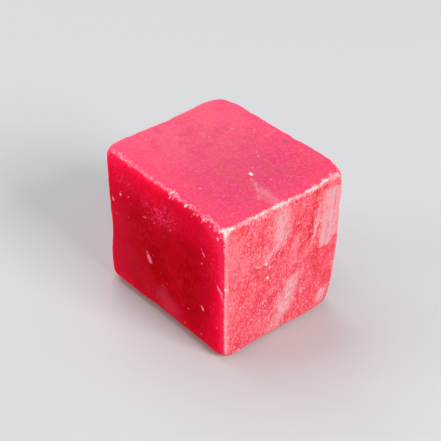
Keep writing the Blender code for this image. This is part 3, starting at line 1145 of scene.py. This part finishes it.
class RubyMasks:
    """Where each effect shows on the stone, as numbers from 0 to 1."""

    def __init__(self, graph: Graph, place: Socket) -> None:
        """Builds the masks.

        Args:
            graph: The material's nodes.
            place: The place on the stone in millimetres.
        """
        self.graph = graph
        self.place = place
        self.stroke, self.specks_group, self.grain_group = stroke_group(), specks_group(), grain_group()
        drifting = graph.stirred(graph.stirred(place, size=2.4, reach=0.4), size=1.0, reach=0.3)
        self.wandering = graph.stirred(drifting, size=0.3, reach=0.12)
        self.trembling = graph.stirred(place, size=0.35, reach=0.1)
        # The light painted as shining in at the arrises, as the mesh carries it.
        self.sawn, self.glow = self.attribute("sawn"), self.attribute("glow")
        self.crumbs = self.lumpy(shift=2.0, size=0.24, detail=1.0)
        self.gritty = graph.span(self.crumbs, 0.3, 0.5, 0.2, 1.0)
        self.mottle_ruby, self.threads = self.ruby_mottle()
        # How unevenly the painted shine at the arrises falls.
        self.uneven = graph.span(self.grained(PAINTED_GLOW_GRAIN), 0.0, 1.0, 0.8, 1.0)
        # The top's painted sheen, with a ragged border.
        ragged = graph.times_plus(self.crumbs, 0.6, graph.math("SUBTRACT", self.attribute("satin"), 0.3))
        self.satin = graph.span(ragged, 0.2, 0.8)
        self.mottle_satin = self.satin_mottle()
        smudged = self.lumpy(shift=15.0, size=2.6, detail=4.0, roughness=0.6)
        self.smudges = graph.span(smudged, 0.46, 0.66, 0.0, 0.55)
        # Painted sparkle: small highlights scattered over the top.
        self.sparkle = graph.product(self.grained(PAINTED_SPARKLE_GRAIN), 0.3)
        self.grain = self.sawn_grain()
        self.tint = graph.span(self.lumpy(shift=12.0, size=1.4), 0.4, 0.6)
        self.flush = graph.product(self.marked(MarkKind.FLUSH), graph.span(self.grain, 0.2, 0.9, 0.95, 0.45))
        self.fibres = self.grained(FIBRE_GRAIN)
        self.veins = self.marked(MarkKind.VEIN)
        streaked = self.grained(STREAK_GRAIN)
        self.streaks = graph.product(self.veins, graph.product(streaked, 0.75))
        self.specks, self.crystals = self.speckled(), self.crystalline()
        self.rubbed, self.frost = self.rubbed_and_frosted()

    def attribute(self, name: str) -> Socket:
        """A number that the mesh carries at each point."""
        return self.graph.add("ShaderNodeAttribute", attribute_name=name).outputs["Fac"]

    def shifted(self, distance: float) -> Socket:
        """The place, moved so that a second pattern doesn't repeat the first."""
        return self.graph.vector("ADD", self.place, (distance, -distance, distance))

    def lumpy(self, shift: float, size: float, detail: float = 2.0, roughness: float = 0.5) -> Socket:
        """Soft noise with lumps of that size in millimetres, shifted so that it is a pattern of its own."""
        return self.graph.noise(self.shifted(shift), size, detail, roughness)

    def dotted(self, place: Socket, spacing: float, size: float, share: float) -> Socket:
        """Dots up to that size, in that share of the cells of a pattern with that spacing."""
        return self.graph.use(self.specks_group, place=place, spacing=spacing, size=size, share=share)

    def grained(self, grain: Grain) -> Socket:
        """Where grain of that kind shows."""
        return self.graph.use(self.grain_group, place=self.place, **vars(grain))

    def ruby_mottle(self) -> tuple[Socket, Socket]:
        """The ruby's mottling: slow clouds with finer ones over them, and pink threads in passages.

        Returns:
            The mottling's mask and the threads' mask.
        """
        graph = self.graph
        slow = graph.noise(self.place, size=3.2)
        fine = self.grained(MOTTLE_GRAIN)
        mottle = graph.span(graph.times_plus(fine, 0.3, slow), 0.4, 0.9)
        passages = graph.span(self.lumpy(shift=18.0, size=2.8, detail=3.0), 0.42, 0.7, 0.02, 0.3)
        return mottle, graph.product(self.grained(THREAD_GRAIN), passages)

    def satin_mottle(self) -> Socket:
        """The mottling of the top's painted sheen and of the roughness, in two sizes of cloud.

        Returns:
            The mottling's mask.
        """
        fine = self.graph.product(self.grained(SATIN_GRAIN), 0.6)
        lumps = self.lumpy(shift=21.0, size=1.5, detail=3.0, roughness=0.6)
        broad = self.graph.span(lumps, 0.38, 0.62, -0.2, 0.6)
        return self.graph.math("ADD", fine, broad, clamp=True)

    def sawn_grain(self) -> Socket:
        """The sawn sides' grain: fine, with broad lighter and darker passages, all running one way.

        Returns:
            The grain's mask.
        """
        fine = self.grained(SAWN_GRAIN)
        broad = self.graph.times_plus(self.grained(BROAD_SAWN_GRAIN), 0.7, -0.35)
        return self.graph.math("ADD", fine, broad, clamp=True)

    def speckled(self) -> Socket:
        """Fine pink specks in the ruby: few in passages and at the arrises, many with curls where marked.

        Returns:
            The specks' mask.
        """
        graph = self.graph
        tall = graph.vector("MULTIPLY", self.place, (1.0, 1.0, 0.6))
        few = self.dotted(tall, spacing=0.5, size=0.12, share=0.6)
        passages = graph.span(self.lumpy(shift=9.0, size=4.0), 0.42, 0.62, 0.08, 0.4)
        passages = graph.times_plus(self.glow, 0.25, passages)
        many = self.dotted(self.shifted(3.0), spacing=0.42, size=0.15, share=0.6)
        curls = graph.product(self.grained(CURL_GRAIN), 0.5)
        gathered = graph.product(graph.largest(many, curls), self.marked(MarkKind.SPECKLED))
        return graph.largest(graph.product(few, passages), gathered)

    def crystalline(self) -> Socket:
        """Pale crystals on the sawn sides: fine ones, fewer where the coral is flushed, and large ones.

        Returns:
            The crystals' mask.
        """
        graph = self.graph
        dashes = self.grained(DASH_GRAIN)
        dots = self.dotted(self.shifted(4.0), spacing=0.4, size=0.17, share=0.55)
        fewer = graph.span(self.flush, 0.0, 0.8, 0.9, 0.35)
        large = self.dotted(self.shifted(7.0), spacing=1.5, size=0.34, share=0.45)
        fine = graph.product(graph.largest(dashes, dots), fewer)
        return graph.product(graph.largest(fine, graph.product(large, 0.5)), self.sawn)

    def rubbed_and_frosted(self) -> tuple[Socket, Socket]:
        """The arrises: a soft, dusty band on the paler side, and a narrow line of frost along the middle.

        The line wanders, and it swells, thins and breaks up into crumbs where the arris is lightly frosted.

        Returns:
            The dusty band's mask and the frost's mask.
        """
        graph = self.graph
        frost, worn, rim = self.attribute("frost"), self.attribute("worn"), self.attribute("rim")
        towards_pale = graph.times_plus(frost, -0.24, 0.04)
        wander = graph.times_plus(graph.noise(self.place, size=0.9), 0.4, towards_pale)
        across = graph.math("ABSOLUTE", graph.math("SUBTRACT", rim, wander))
        lumps = self.lumpy(shift=6.0, size=0.8, roughness=0.6)
        faded = graph.span(self.lumpy(shift=8.0, size=0.5, detail=1.0), 0.3, 0.6, 0.5, 1.0)
        # The line's core.
        reach = graph.product(graph.span(lumps, 0.3, 0.7, 0.05, 0.26), frost)
        core = graph.span(graph.math("SUBTRACT", across, reach), -0.05, 0.05, 1.0, 0.0)
        core = graph.product(core, graph.span(frost, 0.3, 0.6), graph.span(self.crumbs, 0.34, 0.5, 0.4, 1.0))
        # The crumbs beside it.
        dots = self.dotted(self.shifted(5.0), spacing=0.4, size=0.2, share=0.5)
        crumbled = graph.largest(dots, self.grained(FLAKE_GRAIN))
        strewn = graph.times_plus(lumps, 1.5, graph.times_plus(frost, 0.4, -0.64))
        near = graph.span(across, strewn, graph.math("SUBTRACT", strewn, 0.15))
        crumbled = graph.product(crumbled, near, graph.span(frost, 0.1, 0.7, 0.7, 1.0))
        on_arris = graph.product(faded, graph.span(worn, 0.05, 0.25))
        line = graph.product(graph.largest(core, crumbled), on_arris)
        # The fresh breaks.
        chipped = graph.product(self.attribute("broken"), graph.span(frost, 0.2, 0.6, 0.4, 1.0))
        chipped = graph.product(chipped, graph.span(self.crumbs, 0.42, 0.64, 0.0, 0.5))
        # The dusty band.
        crumbly = self.grained(DUST_GRAIN)
        on_satin = graph.product(graph.span(across, 0.0, 0.8, 0.7, 0.0), crumbly)
        on_satin = graph.product(on_satin, graph.span(frost, 0.35, 0.7, 1.0, 0.4))
        on_sawn = graph.product(graph.span(across, 0.0, 0.75, 0.9, 0.0), faded)
        dust = graph.times_plus(on_sawn, self.sawn, graph.product(on_satin, self.satin))
        return graph.product(dust, graph.span(worn, 0.0, 0.9)), graph.largest(line, chipped)

    def marked(self, kind: MarkKind) -> Socket:
        """Where the marks of a kind show: the strongest of them at each place.

        Args:
            kind: The kind of mark.

        Returns:
            The mask's socket.
        """
        graph = self.graph
        place = self.wandering if kind.fibrous else self.trembling if kind.trembling else self.place
        strokes = []
        for mark in MARKS[kind]:
            line = {"start": mark.start, "end": mark.end, "half_width": mark.half_width}
            stroke = graph.use(self.stroke, place=place, softness=kind.softness, **line)
            strokes.append(graph.product(stroke, mark.strength))
        strongest = graph.largest(0.0, *strokes)
        if kind.sawn:
            strongest = graph.product(strongest, self.sawn)
        if kind is MarkKind.CLOUD:
            strongest = graph.product(strongest, self.gritty)
        if kind.fibrous:
            kept = graph.span(self.fibres, 0.1, 0.9, kind.between_fibres, 1.0)
            strongest = graph.product(strongest, kept)
        return strongest


@dataclass(frozen=True)
class RubyFinish:
    """Ruby, with light and shade painted into its colours: its colours, its roughness and how far red light
    travels in it.

    The relief's height is in millimetres. Red, green and blue light travel glow_reach times glow_scale, in
    metres, inside the stone.
    """

    # The front and back sides' ruby is darker than the top and the sawn sides: the front's shade, painted.
    deep: Colour = (0.365, 0.0006, 0.003)
    bright: Colour = (0.475, 0.0015, 0.008)
    # Painted light, shining in at the arrises.
    glowing: Colour = (1.0, 0.003, 0.038)
    glowing_pale: Colour = (1.0, 0.018, 0.083)
    threaded: Colour = (0.76, 0.026, 0.075)
    # The floor's painted reflection.
    speckled: Colour = (0.9, 0.066, 0.225)
    hazy: Colour = (0.57, 0.034, 0.084)
    # The top's colours: its painted sheen, paler and pinker than the ruby.
    satin: Colour = (0.69, 0.052, 0.152)
    satin_warm: Colour = (0.66, 0.076, 0.122)
    satin_pale: Colour = (0.86, 0.106, 0.198)
    satin_pale_warm: Colour = (0.84, 0.13, 0.178)
    satin_glowing: Colour = (0.97, 0.057, 0.155)
    satin_deep: Colour = (0.67, 0.047, 0.125)
    # A painted highlight on the top.
    satin_lit: Colour = (0.95, 0.2, 0.3)
    # The sawn sides' coral: their grain, and lighter than the ruby as the light that the right side catches,
    # painted.
    coral: Colour = (0.88, 0.17, 0.2)
    coral_deep: Colour = (0.74, 0.026, 0.042)
    coral_rose: Colour = (0.82, 0.038, 0.1)
    coral_light: Colour = (0.97, 0.24, 0.255)
    coral_flushed: Colour = (0.8, 0.06, 0.095)
    seam: Colour = (0.68, 0.024, 0.04)
    cloudy: Colour = (0.8, 0.34, 0.36)
    veined: Colour = (0.71, 0.37, 0.39)
    streak: Colour = (1.0, 0.56, 0.58)
    dusty_satin: Colour = (0.97, 0.23, 0.35)
    dusty_sawn: Colour = (0.98, 0.36, 0.4)
    frosted: Colour = (1.0, 0.71, 0.68)
    broken: Colour = (1.0, 0.79, 0.75)
    crystal: Colour = (1.0, 0.46, 0.5)
    scratched: Colour = (0.95, 0.2, 0.29)
    speck: Colour = (1.0, 0.36, 0.46)
    cracked: Colour = (0.55, 0.04, 0.075)
    grey_inclusion: Colour = (0.3, 0.11, 0.15)
    # A painted highlight.
    glint: Colour = (1.0, 0.94, 0.94)
    roughness_satin: float = 0.42
    roughness_sawn: float = 0.6
    roughness_frosted: float = 0.75
    roughness_spread: float = 0.12
    relief_of_satin: float = 0.25
    relief_strength: float = 0.2
    relief_height: float = 0.02
    sheen_level: float = 0.003
    sheen_tint: Colour = (1.0, 0.6, 0.75)
    refraction: float = 1.5
    glow_reach: Place = (1.0, 0.1, 0.15)
    glow_scale: float = 0.0009
    glow_weight: float = 1.0

    def build(self) -> bpy.types.Material:
        """The material, with its colour, roughness and fine relief built up layer by layer.

        Returns:
            The material.
        """
        material = bpy.data.materials.new("ruby")
        material.use_nodes = True
        graph = Graph(material.node_tree)
        shader = graph.tree.nodes["Principled BSDF"]
        coordinates = graph.add("ShaderNodeTexCoord")
        place = graph.scaled(coordinates.outputs["Object"], 1 / MM)
        masks = RubyMasks(graph, place)
        sockets = {
            "Base Color": self.colour(masks),
            "Roughness": self.roughness(masks),
            "Normal": self.relief(masks),
            "Metallic": 0.0,
            "IOR": self.refraction,
            "Specular IOR Level": self.sheen_level,
            "Specular Tint": (*self.sheen_tint, 1.0),
            "Subsurface Weight": self.glow_weight,
            "Subsurface Radius": self.glow_reach,
            "Subsurface Scale": self.glow_scale,
        }
        for name, value in sockets.items():
            graph.feed(shader.inputs[name], value)
        shader.subsurface_method = "RANDOM_WALK"
        return material

    def colour(self, masks: RubyMasks) -> Socket:
        """The colour: ruby, darker on the front and back as painted shade, the painted sheen on top, and
        coral where it was sawn, lighter as painted light, then each kind of mark, then frost.

        Args:
            masks: Where each effect shows.

        Returns:
            The colour's socket.
        """
        graph = masks.graph
        # Ruby on the front and back, darker as their painted shade.
        ruby = graph.layered(
            self.deep,
            (masks.mottle_ruby, self.bright),
            # Light painted as shining in at the arrises.
            (graph.product(masks.glow, masks.uneven), self.glowing),
            (graph.span(masks.glow, 0.8, 1.0), self.glowing_pale),
            # Less of the painted shine where it is held back.
            (masks.marked(MarkKind.SHADE), self.bright),
            (masks.threads, self.threaded),
        )
        # The top's painted sheen, paler where marked, mottled, and with painted sparkle.
        paler_sheen = masks.marked(MarkKind.BLUSH)
        satin = graph.layered(
            self.satin,
            (paler_sheen, self.satin_pale),
            (masks.mottle_satin, graph.blend(paler_sheen, self.satin_warm, self.satin_pale_warm)),
            (masks.smudges, self.satin_deep),
            # The painted shine at the arrises, over the painted sheen.
            (graph.product(masks.glow, 0.5), self.satin_glowing),
            (masks.sparkle, self.satin_lit),
        )
        # Coral on the sawn sides: their grain, lighter as painted light.
        coral = graph.layered(
            self.coral_deep,
            (masks.tint, self.coral_rose),
            (masks.grain, self.coral),
            (masks.marked(MarkKind.LIGHT), self.coral_light),
            (masks.flush, self.coral_flushed),
        )
        return graph.layered(
            ruby,
            (masks.satin, satin),
            (masks.sawn, coral),
            (masks.marked(MarkKind.DEEP), self.seam),
            # The floor's reflection, painted low on the front.
            (masks.marked(MarkKind.HAZE), self.hazy),
            (masks.specks, graph.blend(masks.satin, self.speckled, self.dusty_satin)),
            (masks.crystals, self.crystal),
            (masks.marked(MarkKind.CLOUD), self.cloudy),
            (masks.veins, self.veined),
            (masks.streaks, self.streak),
            (masks.marked(MarkKind.PATCH), self.veined),
            (masks.marked(MarkKind.SCRATCH), self.scratched),
            (masks.rubbed, graph.blend(masks.sawn, self.dusty_satin, self.dusty_sawn)),
            (masks.frost, self.frosted),
            (masks.marked(MarkKind.SPECK), self.speck),
            (graph.product(masks.marked(MarkKind.FROST), masks.gritty), self.broken),
            (masks.marked(MarkKind.DARK), self.cracked),
            (masks.marked(MarkKind.GREY), self.grey_inclusion),
            # Painted glints.
            (masks.marked(MarkKind.GLINT), self.glint),
        )

    def roughness(self, masks: RubyMasks) -> Socket:
        """Satin on the tumbled sides, duller on the sawn ones and dull where it is frosted.

        Args:
            masks: Where each effect shows.

        Returns:
            The roughness's socket.
        """
        graph = masks.graph
        sides = graph.span(masks.sawn, 0.0, 1.0, self.roughness_satin, self.roughness_sawn)
        centred = graph.math("SUBTRACT", sides, self.roughness_spread / 2)
        uneven = graph.times_plus(masks.mottle_satin, self.roughness_spread, centred)
        return graph.span(masks.frost, 0.0, 1.0, uneven, self.roughness_frosted)

    def relief(self, masks: RubyMasks) -> Socket:
        """The fine relief: grain on the sawn sides, a faint ripple on the others.

        Args:
            masks: Where each effect shows.

        Returns:
            The normal's socket.
        """
        graph = masks.graph
        height = graph.product(masks.grain, graph.span(masks.sawn, 0.0, 1.0, self.relief_of_satin, 1.0))
        bump = graph.add("ShaderNodeBump")
        bump.inputs["Strength"].default_value = self.relief_strength
        bump.inputs["Distance"].default_value = self.relief_height * MM
        graph.feed(bump.inputs["Height"], height)
        return bump.outputs["Normal"]


@dataclass
class RubyCube:
    """The stone: its form, its breakage, its finish, and how it must face to be sawn or to take the top's
    painted sheen.
    """

    form: TumbledCube = field(default_factory=TumbledCube)
    breakage: Breakage = field(default_factory=Breakage)
    grid: SurfaceGrid = field(default_factory=SurfaceGrid)
    finish: RubyFinish = field(default_factory=RubyFinish)
    sawn_facing: tuple[float, float] = (0.62, 0.76)
    satin_facing: tuple[float, float] = (0.4, 0.95)

    def mesh(self) -> bpy.types.Mesh:
        """The stone's surface, with how worn, broken and sawn it is at each point, and where light and sheen
        are painted on it.

        Returns:
            The mesh, in metres.
        """
        unit_points, faces = self.grid.build()
        points, facing = self.form.surface(unit_points)
        points, broken = self.breakage.break_off(points, facing)
        box = unit_points * self.form.half
        mesh = bpy.data.meshes.new("ruby_cube")
        mesh.from_pydata(points * MM, [], faces)
        mesh.shade_smooth()
        measures = {
            "worn": turn_from_side(facing),
            "rim": self.form.rim(box, facing),
            "frost": self.form.frost(box),
            # Where light is painted as shining in at the arrises.
            "glow": self.form.glow(box),
            "broken": broken,
            "sawn": smooth_step(np.abs(facing[:, 0]), *self.sawn_facing),
            # Where the top's painted sheen lies.
            "satin": smooth_step(facing[:, 2], *self.satin_facing),
        }
        for name, values in measures.items():
            layer = mesh.attributes.new(name, "FLOAT", "POINT")
            layer.data.foreach_set("value", values.astype(np.float32))
        return mesh

    def build(self) -> bpy.types.Object:
        """Makes the stone and puts it in place of the plain solid.

        Returns:
            The stone.
        """
        stone = placed("ruby_stone", self.mesh())
        stone.data.materials.append(self.finish.build())
        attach(stone, "root")
        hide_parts("ruby_cube")
        return stone


# ---- The studio ----


@dataclass(frozen=True)
class SoftLight:
    """A square lamp that looks at the stone, by the direction that it stands in.

    Its angles are in degrees, its distance and size in metres, and its power in watts.
    """

    name: str
    azimuth: float
    elevation: float
    distance: float
    size: float
    power: float
    colour: Colour = (1.0, 1.0, 1.0)

    def build(self, target: Vector) -> None:
        """Hangs the lamp.

        Args:
            target: What it looks at.
        """
        lamp = bpy.data.lights.new(self.name, "AREA")
        lamp.shape = "SQUARE"
        lamp.size = self.size
        lamp.energy = self.power
        lamp.color = self.colour
        light = placed(self.name, lamp)
        away = direction_of(self.azimuth, self.elevation)
        light.location = target + away * self.distance
        light.rotation_euler = away.to_track_quat("Z", "Y").to_euler()


def direction_of(azimuth: float, elevation: float) -> Vector:
    """The direction from the stone to something at that azimuth, 0 in front and 90 on the right.

    Args:
        azimuth: Degrees round from the front, towards the right.
        elevation: Degrees above the horizon.

    Returns:
        The direction, one unit long.
    """
    turn, rise = math.radians(azimuth), math.radians(elevation)
    return Vector((math.sin(turn) * math.cos(rise), -math.cos(turn) * math.cos(rise), math.sin(rise)))


@dataclass
class Studio:
    """A pale floor, soft lamps, an even surround and the camera.

    Angles are in degrees and lengths in metres, but the lens and the sensor are in millimetres. The camera
    aims at aim_height above the floor, moved by aim_right and aim_up across its view.
    """

    azimuth: float = 48.52
    elevation: float = 37.52
    roll: float = 1.08
    distance: float = 0.1601
    lens: float = 108.4
    sensor: float = 36.0
    nearest_seen: float = 0.01
    aim_right: float = -0.000304
    aim_up: float = 0.000476
    aim_height: float = 0.00995
    floor_size: float = 3.0
    floor_colour: Colour = (0.62, 0.62, 0.62)
    floor_roughness: float = 0.9
    floor_sheen: float = 0.2
    surround: Colour = (0.94, 0.97, 1.0)
    surround_strength: float = 0.4
    lights: tuple[SoftLight, ...] = (
        SoftLight("sky_lamp", 262.0, 55.0, distance=0.45, size=0.38, power=1.0, colour=(0.94, 0.96, 1.0)),
        SoftLight("side_lamp", 97.0, 34.0, distance=0.45, size=0.18, power=1.5),
        SoftLight("front_lamp", -38.0, 9.0, distance=0.6, size=0.3, power=1.92),
    )

    def build(self) -> None:
        """Sets up the whole studio."""
        self.lay_floor()
        target = Vector((0, 0, self.aim_height))
        for light in self.lights:
            light.build(target)
        self.even_surround()
        self.place_camera()
        bpy.context.scene.view_settings.view_transform = "Standard"

    def lay_floor(self) -> None:
        """A plain matt floor, far wider than the view."""
        reach = self.floor_size / 2
        corners = [(-reach, -reach, 0), (reach, -reach, 0), (reach, reach, 0), (-reach, reach, 0)]
        mesh = bpy.data.meshes.new("floor")
        mesh.from_pydata(corners, [], [(0, 1, 2, 3)])
        floor = placed("floor", mesh)
        material = bpy.data.materials.new("floor")
        material.use_nodes = True
        shader = material.node_tree.nodes["Principled BSDF"]
        shader.inputs["Base Color"].default_value = (*self.floor_colour, 1.0)
        shader.inputs["Roughness"].default_value = self.floor_roughness
        shader.inputs["Specular IOR Level"].default_value = self.floor_sheen
        mesh.materials.append(material)

    def even_surround(self) -> None:
        """An even light from everywhere."""
        world = bpy.data.worlds.new("surround")
        bpy.context.scene.world = world
        world.use_nodes = True
        background = world.node_tree.nodes["Background"]
        background.inputs["Color"].default_value = (*self.surround, 1.0)
        background.inputs["Strength"].default_value = self.surround_strength

    def place_camera(self) -> None:
        """The camera: it looks at the stone's middle from its azimuth and elevation, rolled a little."""
        away = direction_of(self.azimuth, self.elevation)
        across = Vector((math.cos(math.radians(self.azimuth)), math.sin(math.radians(self.azimuth)), 0))
        up = away.cross(across)
        aim = Vector((0, 0, self.aim_height)) + across * self.aim_right + up * self.aim_up
        turned = Matrix.Rotation(math.radians(self.roll), 3, away)
        axes = Matrix((turned @ across, turned @ up, away)).transposed()
        data = bpy.data.cameras.new("camera")
        data.lens = self.lens
        data.sensor_width = self.sensor
        data.clip_start = self.nearest_seen
        camera = placed("camera", data)
        camera.matrix_world = Matrix.Translation(aim + away * self.distance) @ axes.to_4x4()
        bpy.context.scene.camera = camera


def main() -> None:
    """Builds the stone and its studio."""
    logging.basicConfig(level=logging.INFO)
    stone = RubyCube().build()
    LOG.info("%s: %d faces", stone.name, len(stone.data.polygons))
    Studio().build()
    LOG.info("studio ready")


if __name__ == "__main__":
    main()
